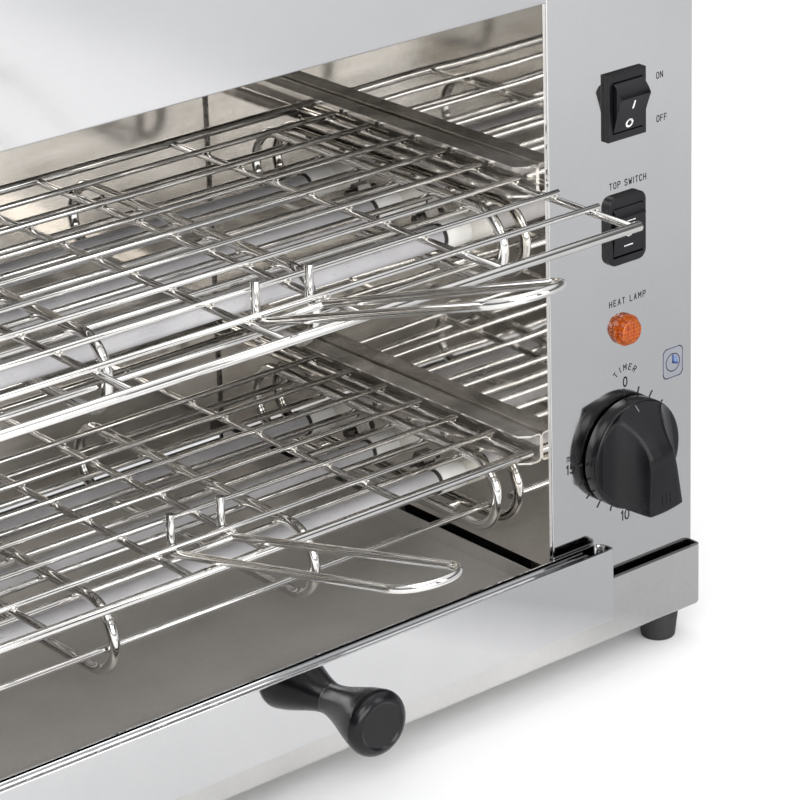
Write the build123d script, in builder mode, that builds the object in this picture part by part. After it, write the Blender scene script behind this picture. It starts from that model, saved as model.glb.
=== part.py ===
from build123d import *
import math
import os

os.makedirs("parts", exist_ok=True)

# ---------------------------------------------------------------------------
# Two-deck horizontal toaster. All lengths are in millimetres.
# Pieces are placed from a front datum: x as on the front view, y = 0 on the
# face of the control panel and growing to the back, z = 0 where the panel
# meets the base. SHIFT_* carry the datum to the part's own frame, whose origin
# lies on the table under the middle of the object's footprint, +Z up.
# ---------------------------------------------------------------------------

# overall housing
LEFT_X = -200.0          # left side of the housing
RIGHT_X = 220.0          # right side of the housing
BACK_Y = 226.0           # inner face of the rear panel
TOP_Z = 316.0            # top of the housing
SHEET = 0.8              # stainless sheet
PANEL_LEFT = 140.4       # left edge of the control panel
CAVITY_RIGHT = 139.4     # right wall of the toasting space
CAVITY_LEFT = -175.1     # left wall of the toasting space
CAVITY_TOP = 290.0
WALL_BOTTOM = 11.0
HEADER_BOTTOM = 254.4
MID_X = (CAVITY_RIGHT + CAVITY_LEFT) / 2

# base
BASE_LEFT, BASE_RIGHT = -201.4, 221.4
BASE_FRONT, BASE_BACK = -4.7, 231.5
BASE_BOTTOM, BASE_TOP = -30.0, -1.45
FOOT_H = 14.0
FOOT_R_TOP, FOOT_R_BOTTOM = 9.0, 7.3
FOOT_X = (207.0, -187.0)
FOOT_Y = (7.0, 219.8)

# crumb tray
TRAY_FRONT_Y = -8.9
TRAY_TOP, TRAY_BOTTOM = 15.2, -17.5
TRAY_LEFT, TRAY_RIGHT = -197.0, 166.4
PAN_LEFT, PAN_RIGHT = -172.5, 136.8
PAN_FLOOR = 1.2
PAN_FRONT_Y = -0.5       # the pan is fixed to the back of the front's channel
CHANNEL_FLOOR = 1.2
PAN_RIM = 8.4
KNOB_X, KNOB_Z = 13.6, -1.3

# racks
PITCH = 23.4
WIRE_R, ROD_R, END_ROD_R, HANDLE_R = 1.25, 1.5, 2.0, 1.75
ROD_X = (134.8, 68.0, 0.3, -36.0, -103.7, -170.5)
WIRE_HALF = (136.8 - MID_X)
LOWER_W8_Y, UPPER_W8_Y = 32.6, -33.1
RAIL_TOP_LOWER, RAIL_TOP_UPPER = 71.45, 187.7
RAIL_H, RAIL_D = 12.8, 10.0
RAIL_FRONT, RAIL_BACK = 5.2, 224.0
RUN_GAP = 0.3            # rack rods over the rail's lower flange

# heating banks: centre height and how far the bank stands forward
BANKS = {"lower": (36.0, 0.0), "middle": (148.0, -7.0), "top": (268.0, -7.0)}
TUBE_Y = (59.0, 103.0, 147.0)
TUBE_R = 5.0
TUBE_RIGHT, TUBE_LEFT = 125.4, -161.1
# a coil of 0.55 mm wire, 5.5 mm across and 2 mm a turn, holds about 580 mm3 of
# metal over the tube's length; a straight core of this radius holds the same
COIL_CORE_R = 0.8
GUARD_X = (133.5, 36.0, -63.2, -161.5)
GUARD_R = 2.3
GUARD_BEND = 15.5
GUARD_FRONT, GUARD_BACK = 24.5, 192.5
GUARD_ROD_Y = (51.0, 73.5, 96.0, 119.0, 143.0, 166.0)
GUARD_ROD_R = 1.4

# controls
DIAL_X, DIAL_Z = 181.2, 53.2
LAMP_X, LAMP_Z = 181.4, 107.0
POWER_X, POWER_Z = 181.5, 204.3
TOP_SW_X, TOP_SW_Z = 181.3, 151.5
GLAND_X, GLAND_Z = 180.0, 24.0
GLAND_OUT = 17.0

# the footprint runs from the tip of the upper rack's handle to the cable gland
TIP_Y = -176.3
SHIFT_X = -(BASE_LEFT + BASE_RIGHT) / 2
SHIFT_Y = -(TIP_Y + BACK_Y + SHEET + GLAND_OUT) / 2
SHIFT_Z = -(BASE_BOTTOM - FOOT_H)


def X(v):
    return v + SHIFT_X


def Y(v):
    return v + SHIFT_Y


def Z(v):
    return v + SHIFT_Z


def block(x0, x1, y0, y1, z0, z1, mode=Mode.ADD):
    with Locations((X((x0 + x1) / 2), Y((y0 + y1) / 2), Z((z0 + z1) / 2))):
        Box(x1 - x0, y1 - y0, z1 - z0, mode=mode)


def rod_x(x0, x1, y, z, r, mode=Mode.ADD):
    with Locations(Location((X((x0 + x1) / 2), Y(y), Z(z)), (0, 90, 0))):
        Cylinder(r, x1 - x0, mode=mode)


def rod_y(x, y0, y1, z, r, mode=Mode.ADD):
    with Locations(Location((X(x), Y((y0 + y1) / 2), Z(z)), (90, 0, 0))):
        Cylinder(r, y1 - y0, mode=mode)


def rod_z(x, y, z0, z1, r, mode=Mode.ADD):
    with Locations((X(x), Y(y), Z((z0 + z1) / 2))):
        Cylinder(r, z1 - z0, mode=mode)


def front_plane(y):
    """Plane facing the front at depth y: local x is +X, local y is +Z."""
    return Plane.XZ.offset(-Y(y))


def save(part, name):
    part.part.label = name
    export_step(part.part, "parts/" + name + ".step")


# ---------------------------------------------------------------------------
# base and feet
# ---------------------------------------------------------------------------
with BuildPart() as base_pan:
    with BuildSketch(Plane.XY.offset(Z(BASE_BOTTOM))):
        with Locations((X((BASE_LEFT + BASE_RIGHT) / 2), Y((BASE_FRONT + BASE_BACK) / 2))):
            RectangleRounded(BASE_RIGHT - BASE_LEFT, BASE_BACK - BASE_FRONT, 2.5)
    extrude(amount=BASE_TOP - BASE_BOTTOM)
    fillet(base_pan.faces().sort_by(Axis.Z)[0].edges(), radius=2.2)
    block(BASE_LEFT + SHEET, BASE_RIGHT - SHEET, BASE_FRONT + SHEET, BASE_BACK - SHEET,
          BASE_BOTTOM + SHEET, BASE_TOP + 1, Mode.SUBTRACT)
    # the front skirt's top is hemmed inwards
    block(BASE_LEFT + SHEET, BASE_RIGHT - SHEET, BASE_FRONT + SHEET, BASE_FRONT + 1.9,
          BASE_TOP - 5.0, BASE_TOP)
    for fx in FOOT_X:
        for fy in FOOT_Y:
            rod_z(fx, fy, BASE_BOTTOM - 1, BASE_BOTTOM + 2, 2.2, Mode.SUBTRACT)
save(base_pan, "base_pan")

with BuildPart() as feet:
    for fx in FOOT_X:
        for fy in FOOT_Y:
            with Locations((X(fx), Y(fy), Z(BASE_BOTTOM - FOOT_H / 2))):
                Cone(FOOT_R_BOTTOM, FOOT_R_TOP, FOOT_H)
    fillet(feet.edges().filter_by(GeomType.CIRCLE).group_by(Axis.Z)[0], radius=1.0)
    for fx in FOOT_X:
        for fy in FOOT_Y:
            rod_z(fx, fy, BASE_BOTTOM - FOOT_H - 1, BASE_BOTTOM + 1, 2.2, Mode.SUBTRACT)
            rod_z(fx, fy, BASE_BOTTOM - FOOT_H - 1, BASE_BOTTOM - FOOT_H + 7.0, 4.2, Mode.SUBTRACT)
save(feet, "feet")

with BuildPart() as foot_screws:
    for fx in FOOT_X:
        for fy in FOOT_Y:
            rod_z(fx, fy, BASE_BOTTOM - FOOT_H + 4.2, BASE_BOTTOM - FOOT_H + 7.0, 3.7)
            rod_z(fx, fy, BASE_BOTTOM - FOOT_H + 7.0, BASE_BOTTOM + 5.2, 2.0)
save(foot_screws, "foot_screws")

with BuildPart() as foot_nuts:
    for fx in FOOT_X:
        for fy in FOOT_Y:
            with BuildSketch(Plane.XY.offset(Z(BASE_BOTTOM + SHEET))):
                with Locations((X(fx), Y(fy))):
                    RegularPolygon(3.5, 6, major_radius=False)
            extrude(amount=3.2)
            rod_z(fx, fy, BASE_BOTTOM, BASE_BOTTOM + 6, 2.05, Mode.SUBTRACT)
save(foot_nuts, "foot_nuts")

# ---------------------------------------------------------------------------
# outer housing
# ---------------------------------------------------------------------------
FLOOR_Z = BASE_BOTTOM + SHEET
SIDE_SCREW_Y = (40.0, 190.0)
SIDE_SCREW_Z = (12.0, 300.0)
REAR_SCREW_X = (-188.0, 10.0, 205.0)
REAR_SCREW_Z = (40.0, 300.0)

with BuildPart() as control_panel:
    block(PANEL_LEFT, RIGHT_X, 0, SHEET, FLOOR_Z, TOP_Z - SHEET)
    block(PANEL_LEFT, PANEL_LEFT + SHEET, SHEET, 14, FLOOR_Z, TOP_Z - SHEET)
    block(RIGHT_X - 2 * SHEET, RIGHT_X - SHEET, SHEET, 12, FLOOR_Z, TOP_Z - SHEET)
    fillet(control_panel.edges().filter_by(Axis.Z).group_by(Axis.Y)[0], radius=0.6)
    # cut-outs for the timer, lamp and the two switches
    rod_y(DIAL_X, -1, 2, DIAL_Z, 5.0, Mode.SUBTRACT)
    rod_y(LAMP_X, -1, 2, LAMP_Z, 5.2, Mode.SUBTRACT)
    block(POWER_X - 9.3, POWER_X + 9.3, -1, 2, POWER_Z - 12.9, POWER_Z + 12.9, Mode.SUBTRACT)
    block(TOP_SW_X - 9.3, TOP_SW_X + 9.3, -1, 2, TOP_SW_Z - 13.9, TOP_SW_Z + 13.9, Mode.SUBTRACT)
save(control_panel, "control_panel")

with BuildPart() as left_front_post:
    block(LEFT_X, CAVITY_LEFT - 1.0, 0, SHEET, FLOOR_Z, TOP_Z - SHEET)
    block(CAVITY_LEFT - 1.0 - SHEET, CAVITY_LEFT - 1.0, SHEET, 14, FLOOR_Z, TOP_Z - SHEET)
    block(LEFT_X + SHEET, LEFT_X + 2 * SHEET, SHEET, 12, FLOOR_Z, TOP_Z - SHEET)
    fillet(left_front_post.edges().filter_by(Axis.Z).group_by(Axis.Y)[0], radius=0.6)
save(left_front_post, "left_front_post")

with BuildPart() as header_fascia:
    block(CAVITY_LEFT - 1.0, PANEL_LEFT, 0, SHEET, HEADER_BOTTOM, TOP_Z - SHEET)
    block(CAVITY_LEFT, CAVITY_RIGHT, SHEET, 14, HEADER_BOTTOM, HEADER_BOTTOM + SHEET)
    fillet(header_fascia.edges().filter_by(Axis.X).group_by(Axis.Z)[0].sort_by(Axis.Y)[0], radius=0.6)
save(header_fascia, "header_fascia")

with BuildPart() as top_cover:
    block(LEFT_X, RIGHT_X, 0, BACK_Y + SHEET, TOP_Z - SHEET, TOP_Z)
    fillet(top_cover.faces().sort_by(Axis.Z)[-1].edges(), radius=0.6)
    # stiffening flanges folded down inside the housing
    block(LEFT_X + 30, PANEL_LEFT - 4, 3.0, 3.0 + SHEET, TOP_Z - 14, TOP_Z - SHEET)
    block(LEFT_X + 30, RIGHT_X - 30, BACK_Y - 3.0 - SHEET, BACK_Y - 3.0, TOP_Z - 14, TOP_Z - SHEET)
save(top_cover, "top_cover")

with BuildPart() as right_side_panel:
    block(RIGHT_X - SHEET, RIGHT_X, SHEET, BACK_Y, FLOOR_Z, TOP_Z - SHEET)
    # ventilation slots beside the controls
    for k in range(7):
        with BuildSketch(Plane.YZ.offset(X(RIGHT_X - 2))):
            with Locations((Y(60 + 18 * k), Z(250))):
                SlotOverall(34, 4, rotation=90)
        extrude(amount=4, mode=Mode.SUBTRACT)
    for sy in SIDE_SCREW_Y:
        for sz in SIDE_SCREW_Z:
            rod_x(RIGHT_X - 3, RIGHT_X + 2, sy, sz, 2.0, Mode.SUBTRACT)
save(right_side_panel, "right_side_panel")

with BuildPart() as left_side_panel:
    block(LEFT_X, LEFT_X + SHEET, SHEET, BACK_Y, FLOOR_Z, TOP_Z - SHEET)
    for sy in SIDE_SCREW_Y:
        for sz in SIDE_SCREW_Z:
            rod_x(LEFT_X - 2, LEFT_X + 3, sy, sz, 2.0, Mode.SUBTRACT)
save(left_side_panel, "left_side_panel")

with BuildPart() as rear_panel:
    block(LEFT_X, RIGHT_X, BACK_Y, BACK_Y + SHEET, FLOOR_Z, TOP_Z - SHEET)
    # open below the rear panel across the toasting space, over the crumb tray
    block(CAVITY_LEFT + 1.5, CAVITY_RIGHT - 1.5, BACK_Y - 1, BACK_Y + 2, FLOOR_Z - 1, 5.0, Mode.SUBTRACT)
    rod_y(GLAND_X, BACK_Y - 1, BACK_Y + 2, GLAND_Z, 7.0, Mode.SUBTRACT)
    for sx in REAR_SCREW_X:
        for sz in REAR_SCREW_Z:
            rod_y(sx, BACK_Y - 1, BACK_Y + 2, sz, 2.0, Mode.SUBTRACT)
save(rear_panel, "rear_panel")

with BuildPart() as case_screws:
    for sy in SIDE_SCREW_Y:
        for sz in SIDE_SCREW_Z:
            rod_x(RIGHT_X, RIGHT_X + 1.3, sy, sz, 3.4)
            rod_x(RIGHT_X - 5, RIGHT_X, sy, sz, 1.9)
            rod_x(LEFT_X - 1.3, LEFT_X, sy, sz, 3.4)
            rod_x(LEFT_X, LEFT_X + 5, sy, sz, 1.9)
    for sx in REAR_SCREW_X:
        for sz in REAR_SCREW_Z:
            rod_y(sx, BACK_Y + SHEET, BACK_Y + SHEET + 1.6, sz, 3.4)
            rod_y(sx, BACK_Y - 4, BACK_Y + SHEET, sz, 1.9)
save(case_screws, "case_screws")

# ---------------------------------------------------------------------------
# lining of the toasting space
# ---------------------------------------------------------------------------
BRACKET_Y = (81.0, 125.0)      # bolts of the heater brackets, between the tubes
CLIP_Y = (62.0, 150.0)         # pins that hold the guards to the walls


def make_wall(x0, x1):
    with BuildPart() as wall:
        block(x0, x1, SHEET + 0.2, BACK_Y, WALL_BOTTOM, CAVITY_TOP)
        for zc, dy in BANKS.values():
            for ty in TUBE_Y:
                rod_x(x0 - 1, x1 + 1, ty + dy, zc, 6.3, Mode.SUBTRACT)
            for by in BRACKET_Y:
                rod_x(x0 - 1, x1 + 1, by + dy, zc, 2.05, Mode.SUBTRACT)
            for cy in CLIP_Y:
                rod_x(x0 - 1, x1 + 1, cy + dy, zc - GUARD_BEND, 1.55, Mode.SUBTRACT)
    return wall


inner_right_wall = make_wall(CAVITY_RIGHT, CAVITY_RIGHT + 1.0)
save(inner_right_wall, "inner_right_wall")
inner_left_wall = make_wall(CAVITY_LEFT - 1.0, CAVITY_LEFT)
save(inner_left_wall, "inner_left_wall")

with BuildPart() as cavity_roof:
    block(CAVITY_LEFT - 1.0, CAVITY_RIGHT + 1.0, 14.5, BACK_Y, CAVITY_TOP, CAVITY_TOP + SHEET)
    block(CAVITY_LEFT, CAVITY_RIGHT, 14.5, 14.5 + SHEET, CAVITY_TOP + SHEET, CAVITY_TOP + 14)
save(cavity_roof, "cavity_roof")


def make_rail(side, ztop):
    """Channel rail: web on the wall, two flanges into the toasting space."""
    wall_x = CAVITY_RIGHT if side > 0 else CAVITY_LEFT
    with BuildPart() as rail:
        with BuildSketch(front_plane(RAIL_FRONT)):
            with Locations((X(wall_x - side * RAIL_D / 2), Z(ztop - RAIL_H / 2))):
                Rectangle(RAIL_D, RAIL_H)
            with Locations((X(wall_x - side * (RAIL_D / 2 + SHEET)), Z(ztop - RAIL_H / 2))):
                Rectangle(RAIL_D, RAIL_H - 2 * SHEET, mode=Mode.SUBTRACT)
        extrude(amount=-(RAIL_BACK - RAIL_FRONT))
        web_edges = rail.edges().filter_by(Axis.Y).group_by(Axis.X)
        outer = web_edges[-1] if side > 0 else web_edges[0]
        fillet(outer, radius=1.9)
        inner = [e for e in rail.edges().filter_by(Axis.Y)
                 if abs(abs(e.center().X - X(wall_x)) - SHEET) < 0.05]
        fillet(inner, radius=1.1)
        # the flanges' front corners are cut back
        with BuildSketch(Plane.XY.offset(Z(ztop - RAIL_H - 1))):
            with BuildLine():
                Polyline((X(wall_x - side * (RAIL_D + 0.5)), Y(RAIL_FRONT - 0.5)),
                         (X(wall_x - side * (RAIL_D + 0.5)), Y(RAIL_FRONT + 4.0)),
                         (X(wall_x - side * 5.0), Y(RAIL_FRONT - 0.5)), close=True)
            make_face()
        extrude(amount=RAIL_H + 2, mode=Mode.SUBTRACT)
    return rail


for deck, ztop in (("upper", RAIL_TOP_UPPER), ("lower", RAIL_TOP_LOWER)):
    for side, word in ((1, "right"), (-1, "left")):
        save(make_rail(side, ztop), f"{deck}_{word}_rail")

# ---------------------------------------------------------------------------
# heating banks: quartz tubes, coils, seals, ceramic ends, terminals, guards
# ---------------------------------------------------------------------------
for bank, (zc, dy) in BANKS.items():
    with BuildPart() as tubes:
        for ty in TUBE_Y:
            rod_x(TUBE_LEFT, TUBE_RIGHT, ty + dy, zc, TUBE_R)
        for ty in TUBE_Y:
            rod_x(TUBE_LEFT - 1, TUBE_RIGHT + 1, ty + dy, zc, TUBE_R - 1.0, Mode.SUBTRACT)
    save(tubes, f"{bank}_quartz_tubes")

    with BuildPart() as guard:
        front, back = GUARD_FRONT + dy + GUARD_R + GUARD_BEND, GUARD_BACK + dy - GUARD_R - GUARD_BEND
        for gx in GUARD_X:
            for s in (1, -1):
                rod_y(gx, front, back, zc + s * GUARD_BEND, GUARD_R)
            with Locations(Plane(origin=(X(gx), Y(front), Z(zc)), x_dir=(0, 0, 1), z_dir=(1, 0, 0))):
                Torus(GUARD_BEND, GUARD_R, major_angle=180, align=None)
            with Locations(Plane(origin=(X(gx), Y(back), Z(zc)), x_dir=(0, 0, -1), z_dir=(1, 0, 0))):
                Torus(GUARD_BEND, GUARD_R, major_angle=180, align=None)
    save(guard, f"{bank}_guard_loops")

    with BuildPart() as rods:
        for ry in GUARD_ROD_Y:
            rod_x(GUARD_X[3] - 1.5, GUARD_X[0] + 1.5, ry + dy, zc + GUARD_BEND - GUARD_R - GUARD_ROD_R + 0.1, GUARD_ROD_R)
        rod_x(GUARD_X[3] - 1.5, GUARD_X[0] + 1.5, 30.7 + dy, zc - 2.9, GUARD_ROD_R)
    save(rods, f"{bank}_guard_rods")

with BuildPart() as tube_seals:
    for zc, dy in BANKS.values():
        for ty in TUBE_Y:
            rod_x(TUBE_RIGHT, TUBE_RIGHT + 1.6, ty + dy, zc, 5.5)
            rod_x(TUBE_LEFT - 1.6, TUBE_LEFT, ty + dy, zc, 5.5)
save(tube_seals, "tube_seals")

with BuildPart() as ceramic_ends:
    for zc, dy in BANKS.values():
        for ty in TUBE_Y:
            rod_x(TUBE_RIGHT + 1.6, 153, ty + dy, zc, 6.0)
            rod_x(-189, TUBE_LEFT - 1.6, ty + dy, zc, 6.0)
save(ceramic_ends, "ceramic_ends")

with BuildPart() as heating_coils:
    for zc, dy in BANKS.values():
        for ty in TUBE_Y:
            rod_x(TUBE_LEFT, TUBE_RIGHT, ty + dy, zc, COIL_CORE_R)
save(heating_coils, "heating_coils")

with BuildPart() as element_terminals:
    for zc, dy in BANKS.values():
        for ty in TUBE_Y:
            rod_x(153, 161, ty + dy, zc, 1.6)
            rod_x(-196, -189, ty + dy, zc, 1.6)
save(element_terminals, "element_terminals")

with BuildPart() as bracket_bolts:
    for zc, dy in BANKS.values():
        for by in BRACKET_Y:
            for wall, s in ((CAVITY_RIGHT, -1), (CAVITY_LEFT, 1)):
                a, b = sorted((wall - s * 3.0, wall + s * 7.5))
                rod_x(a, b, by + dy, zc, 2.0)
                with BuildSketch(Plane.YZ.offset(X(wall))):
                    with Locations((Y(by + dy), Z(zc))):
                        RegularPolygon(3.5, 6, major_radius=False)
                extrude(amount=s * 3.4)
save(bracket_bolts, "bracket_bolts")

with BuildPart() as guard_pins:
    for zc, dy in BANKS.values():
        for cy in CLIP_Y:
            rod_x(GUARD_X[0] + GUARD_R - 0.1, CAVITY_RIGHT + 2.5, cy + dy, zc - GUARD_BEND, 1.5)
            rod_x(CAVITY_LEFT - 2.5, GUARD_X[3] - GUARD_R + 0.1, cy + dy, zc - GUARD_BEND, 1.5)
save(guard_pins, "guard_pins")


# ---------------------------------------------------------------------------
# sliding racks
# ---------------------------------------------------------------------------
def rack_parts(name, ztop, w8_y, stub_x, tip_x, tip_y, slope_deg, stub_top):
    rod_z_mid = ztop - RAIL_H + SHEET + RUN_GAP + ROD_R
    end_z = rod_z_mid + 0.5
    wire_z = rod_z_mid + ROD_R + WIRE_R - 0.1
    front_y, back_y = w8_y - PITCH, w8_y + 8 * PITCH
    with BuildPart() as rods:
        rod_x(MID_X - WIRE_HALF, MID_X + WIRE_HALF, front_y, end_z, END_ROD_R)
        rod_x(MID_X - WIRE_HALF, MID_X + WIRE_HALF, back_y, end_z, END_ROD_R)
        for rx in ROD_X:
            rod_y(rx, front_y + END_ROD_R + 0.02, back_y - END_ROD_R - 0.02, rod_z_mid, ROD_R)
    save(rods, f"{name}_rack_rods")
    with BuildPart() as wires:
        for k in range(8):
            rod_x(MID_X - WIRE_HALF, MID_X + WIRE_HALF, w8_y + k * PITCH, wire_z, WIRE_R)
    save(wires, f"{name}_rack_wires")
    # handle: one wire, two upright stubs behind the first cross wire, legs
    # that pass under it and run forward and up to a rounded end
    t = math.tan(math.radians(slope_deg))
    c = math.cos(math.radians(slope_deg))
    stub_y = w8_y + WIRE_R + HANDLE_R - 0.1
    corner_z = wire_z - (stub_y - w8_y) * t - (WIRE_R + HANDLE_R - 0.1) / c
    tip_z = corner_z + (stub_y - tip_y) * t
    pts = [(X(stub_x[0]), Y(stub_y), Z(stub_top)), (X(stub_x[0]), Y(stub_y), Z(corner_z)),
           (X(tip_x[0]), Y(tip_y), Z(tip_z)), (X(tip_x[1]), Y(tip_y), Z(tip_z)),
           (X(stub_x[1]), Y(stub_y), Z(corner_z)), (X(stub_x[1]), Y(stub_y), Z(stub_top))]
    tip_r = (tip_x[1] - tip_x[0]) / 2 * 0.93
    with BuildPart() as handle:
        with BuildLine() as path:
            FilletPolyline(*pts, radius=[3.0, tip_r, tip_r, 3.0])
        with BuildSketch(Plane(origin=pts[0], z_dir=(0, 0, -1))):
            Circle(HANDLE_R)
        sweep(path=path.wires()[0])
        bar_y = w8_y - 5.0
        bar_z = corner_z + (stub_y - bar_y) * t
        f = (stub_y - bar_y) / (stub_y - tip_y)
        xa = stub_x[0] + f * (tip_x[0] - stub_x[0])
        xb = stub_x[1] + f * (tip_x[1] - stub_x[1])
        rod_x(xa, xb, bar_y, bar_z, 1.4)
    save(handle, f"{name}_rack_handle")
    print(name, "rack rods z", round(rod_z_mid, 2), "tip", tip_y, round(tip_z, 2),
          "handle volume", round(handle.part.volume, 1))


rack_parts("lower", RAIL_TOP_LOWER, LOWER_W8_Y, (-27.6, -3.1), (-29.5, 0.0), -113.4, 13.5, 77.0)
rack_parts("upper", RAIL_TOP_UPPER, UPPER_W8_Y, (-30.5, -5.4), (-34.3, -2.6), TIP_Y + HANDLE_R, 18.5, 192.5)

# ---------------------------------------------------------------------------
# crumb tray
# ---------------------------------------------------------------------------
with BuildPart() as tray_front:
    block(TRAY_LEFT, TRAY_RIGHT, TRAY_FRONT_Y, TRAY_FRONT_Y + SHEET, TRAY_BOTTOM, TRAY_TOP)
    # a narrow channel behind the plate, open at the top, with rounded rear
    # corners and a thin floor just over the knob's screw
    for inset, bottom, mode in ((0.0, CHANNEL_FLOOR, Mode.ADD), (SHEET, CHANNEL_FLOOR + SHEET, Mode.SUBTRACT)):
        with BuildSketch(Plane.XY.offset(Z(bottom))):
            with BuildLine():
                FilletPolyline((X(TRAY_LEFT + inset), Y(TRAY_FRONT_Y + inset)), (X(TRAY_LEFT + inset), Y(-0.5 - inset)),
                               (X(TRAY_RIGHT - inset), Y(-0.5 - inset)), (X(TRAY_RIGHT - inset), Y(TRAY_FRONT_Y + inset)),
                               radius=5.0 - inset)
                Line((X(TRAY_RIGHT - inset), Y(TRAY_FRONT_Y + inset)), (X(TRAY_LEFT + inset), Y(TRAY_FRONT_Y + inset)))
            make_face()
        extrude(amount=TRAY_TOP - bottom + (1.0 if inset else 0.0), mode=mode)
    # returns along the bottom and the ends
    block(TRAY_LEFT, TRAY_RIGHT, TRAY_FRONT_Y + SHEET, TRAY_FRONT_Y + 3.0, TRAY_BOTTOM, TRAY_BOTTOM + SHEET)
    block(TRAY_LEFT, TRAY_LEFT + SHEET, TRAY_FRONT_Y + SHEET, TRAY_FRONT_Y + 3.0, TRAY_BOTTOM, CHANNEL_FLOOR)
    block(TRAY_RIGHT - SHEET, TRAY_RIGHT, TRAY_FRONT_Y + SHEET, TRAY_FRONT_Y + 3.0, TRAY_BOTTOM, CHANNEL_FLOOR)
    fillet(tray_front.faces().sort_by(Axis.Y)[0].edges(), radius=0.6)
    rod_y(KNOB_X, TRAY_FRONT_Y - 1, TRAY_FRONT_Y + 2, KNOB_Z, 2.1, Mode.SUBTRACT)
save(tray_front, "tray_front")

with BuildPart() as tray_pan:
    block(PAN_LEFT, PAN_RIGHT, PAN_FRONT_Y, 221, PAN_FLOOR, PAN_RIM)
    block(PAN_LEFT + 0.6, PAN_RIGHT - 0.6, PAN_FRONT_Y + 0.6, 222, PAN_FLOOR + 0.6, PAN_RIM + 1, Mode.SUBTRACT)
    block(PAN_LEFT, PAN_RIGHT, PAN_FRONT_Y, PAN_FRONT_Y + 0.6, PAN_RIM, 12.5)
save(tray_pan, "tray_pan")

# angle runners under the pan, one on each side, standing on the base
with BuildPart() as tray_runners:
    block(CAVITY_RIGHT + 0.2, PANEL_LEFT, 15.0, 224.0, FLOOR_Z, PAN_FLOOR - RUN_GAP)
    block(128.0, CAVITY_RIGHT + 0.2, 15.0, 224.0, PAN_FLOOR - RUN_GAP - SHEET, PAN_FLOOR - RUN_GAP)
    block(CAVITY_LEFT - 1.0, CAVITY_LEFT - 0.2, 15.0, 224.0, FLOOR_Z, PAN_FLOOR - RUN_GAP)
    block(CAVITY_LEFT - 0.2, -164.0, 15.0, 224.0, PAN_FLOOR - RUN_GAP - SHEET, PAN_FLOOR - RUN_GAP)
save(tray_runners, "tray_runners")

with BuildPart() as tray_knob:
    with BuildSketch(Plane.YZ.offset(X(KNOB_X))):
        with BuildLine():
            Polyline((Y(TRAY_FRONT_Y), Z(KNOB_Z)), (Y(TRAY_FRONT_Y), Z(KNOB_Z + 6.6)),
                     (Y(TRAY_FRONT_Y - 1.2), Z(KNOB_Z + 6.6)))
            Spline((Y(TRAY_FRONT_Y - 1.2), Z(KNOB_Z + 6.6)), (Y(-18.0), Z(KNOB_Z + 8.3)),
                   (Y(-28.0), Z(KNOB_Z + 11.7)), (Y(-35.0), Z(KNOB_Z + 13.6)))
            ThreePointArc((Y(-35.0), Z(KNOB_Z + 13.6)), (Y(-39.4), Z(KNOB_Z + 12.9)), (Y(-41.0), Z(KNOB_Z + 10.2)))
            Polyline((Y(-41.0), Z(KNOB_Z + 10.2)), (Y(-40.4), Z(KNOB_Z + 9.2)), (Y(-40.4), Z(KNOB_Z)),
                     (Y(TRAY_FRONT_Y), Z(KNOB_Z)))
        make_face()
    revolve(axis=Axis((X(KNOB_X), Y(0), Z(KNOB_Z)), (0, 1, 0)))
    rod_y(KNOB_X, -24, TRAY_FRONT_Y + 1, KNOB_Z, 2.0, Mode.SUBTRACT)
save(tray_knob, "tray_knob")

with BuildPart() as tray_knob_screw:
    rod_y(KNOB_X, TRAY_FRONT_Y + SHEET, TRAY_FRONT_Y + SHEET + 1.8, KNOB_Z, 2.4)
    rod_y(KNOB_X, -23, TRAY_FRONT_Y + SHEET, KNOB_Z, 1.95)
save(tray_knob_screw, "tray_knob_screw")

# ---------------------------------------------------------------------------
# rocker switches. A rocker is a sector about its pivot with a hollow front
# face; its ends are arcs about the pivot, so that it turns inside the opening
# ---------------------------------------------------------------------------


def polar(py, pz, r, deg):
    """Point at r from the pivot, deg up from the forward direction."""
    a = math.radians(deg)
    return (Y(py - r * math.cos(a)), Z(pz + r * math.sin(a)))


def make_rocker(x0, x1, py, pz, r, half, ends, tilt, sag, back):
    with BuildPart() as rocker:
        with BuildSketch(Plane.YZ.offset(X(x0))):
            with BuildLine():
                top, bottom = polar(py, pz, r, tilt + half), polar(py, pz, r, tilt - half)
                ThreePointArc(bottom, polar(py, pz, r * math.cos(math.radians(half)) - sag, tilt), top)
                ThreePointArc(top, polar(py, pz, r, tilt + (half + ends) / 2), polar(py, pz, r, tilt + ends))
                Polyline(polar(py, pz, r, tilt + ends), polar(py, pz, back[1], tilt + 180 - back[0]),
                         polar(py, pz, back[1], tilt - 180 + back[0]), polar(py, pz, r, tilt - ends))
                ThreePointArc(polar(py, pz, r, tilt - ends), polar(py, pz, r, tilt - (half + ends) / 2), bottom)
            make_face()
        extrude(amount=x1 - x0)
        fillet(rocker.edges().filter_by(Axis.X).sort_by(Axis.Y)[0:1], radius=0.35)
        rod_x(x0 - 0.9, x1 + 0.9, py, pz, 1.2)
    return rocker


POWER_PIVOT_Y, POWER_R, POWER_TILT = 3.0, 11.7, -18.6
TOP_PIVOT_Y, TOP_R, TOP_TILT = 7.4, 14.0, -8.0
TOP_PIVOT_Z = TOP_SW_Z - 0.5

power_rocker = make_rocker(POWER_X - 8.0, POWER_X + 8.0, POWER_PIVOT_Y, POWER_Z, POWER_R, 42, 98, POWER_TILT, 0.35, (35, 4.0))
save(power_rocker, "power_rocker")
top_rocker = make_rocker(TOP_SW_X - 8.0, TOP_SW_X + 8.0, TOP_PIVOT_Y, TOP_PIVOT_Z, TOP_R, 37, 57, TOP_TILT, 0.3, (40, 4.0))
save(top_rocker, "top_rocker")

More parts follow.
